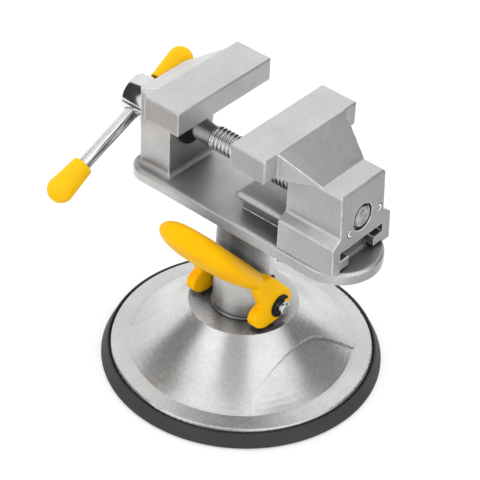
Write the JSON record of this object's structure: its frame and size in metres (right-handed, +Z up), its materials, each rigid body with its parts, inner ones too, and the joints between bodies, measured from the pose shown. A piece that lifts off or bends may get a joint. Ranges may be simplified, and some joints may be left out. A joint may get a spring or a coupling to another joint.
{
  "type": "suction base vise",
  "caption": "Small bench vise on a cast dome with a rubber suction pad and a cam lever; the jaw is moved by a screw with a sliding T handle.",
  "frame": {"origin": "on the neck's axis at the underside of the rubber pad, which stands on the bench", "axes": "+X from the fixed jaw to the moving jaw, along the screw; +Y along the jaws, away from the raised lever; +Z up"},
  "size_m": [0.1152, 0.108, 0.118],
  "materials": {
    "pad_rubber": "matt dark grey",
    "stem_steel": "plain turned steel",
    "cast_body": "satin die casting with a fine grain",
    "pin_steel": "bright pin",
    "black_clip": "blackened spring steel",
    "lever_plastic": "satin yellow moulding",
    "screw_chrome": "bright plated",
    "cap_plastic": "soft yellow cap"
  },
  "bodies": {
    "base": {"suction_pad": "pad_rubber", "base_dome": "cast_body", "return_spring": "stem_steel", "spring_washer": "stem_steel", "vise_bed": "cast_body", "bed_bolt": "stem_steel", "bed_washer": "stem_steel", "thrust_washer": "stem_steel"},
    "plunger": {"pad_hub": "pad_rubber", "pull_stem": "stem_steel", "pivot_pin": "pin_steel", "clip_left": "black_clip", "clip_right": "black_clip"},
    "lever": {"suction_lever": "lever_plastic"},
    "jaw": {"moving_jaw": "cast_body"},
    "screw": {"jaw_screw": "screw_chrome", "screw_clip": "black_clip"},
    "handle": {"t_bar": "screw_chrome", "bar_cap_near": "cap_plastic", "bar_cap_far": "cap_plastic"}
  },
  "joints": [
    {"name": "plunger_lift", "type": "slide", "parent": "base", "child": "plunger", "axis": [0, 0, 1], "range_m": [0, 0.00494], "deforming": ["return_spring"]},
    {"name": "lever_turn", "type": "hinge", "parent": "plunger", "child": "lever", "pos_m": [0, 0, 0.0335], "axis": [1, 0, 0], "range_deg": [0, 48]},
    {"name": "screw_turn", "type": "hinge", "parent": "base", "child": "screw", "pos_m": [0, 0, 0.094], "axis": [1, 0, 0], "range_deg": [-2980, 4820]},
    {"name": "jaw_slide", "type": "slide", "parent": "base", "child": "jaw", "axis": [1, 0, 0], "range_m": [-0.0234, 0.0144]},
    {"name": "handle_slide", "type": "slide", "parent": "screw", "child": "handle", "axis": [0, 0.9259, 0.3778], "range_m": [0, 0.0272]}
  ],
  "couplings": [
    {"joint": "lever_turn", "follows": "plunger_lift", "rad_per_m": 169.49},
    {"joint": "screw_turn", "follows": "jaw_slide", "rad_per_m": -3590.4}
  ]
}
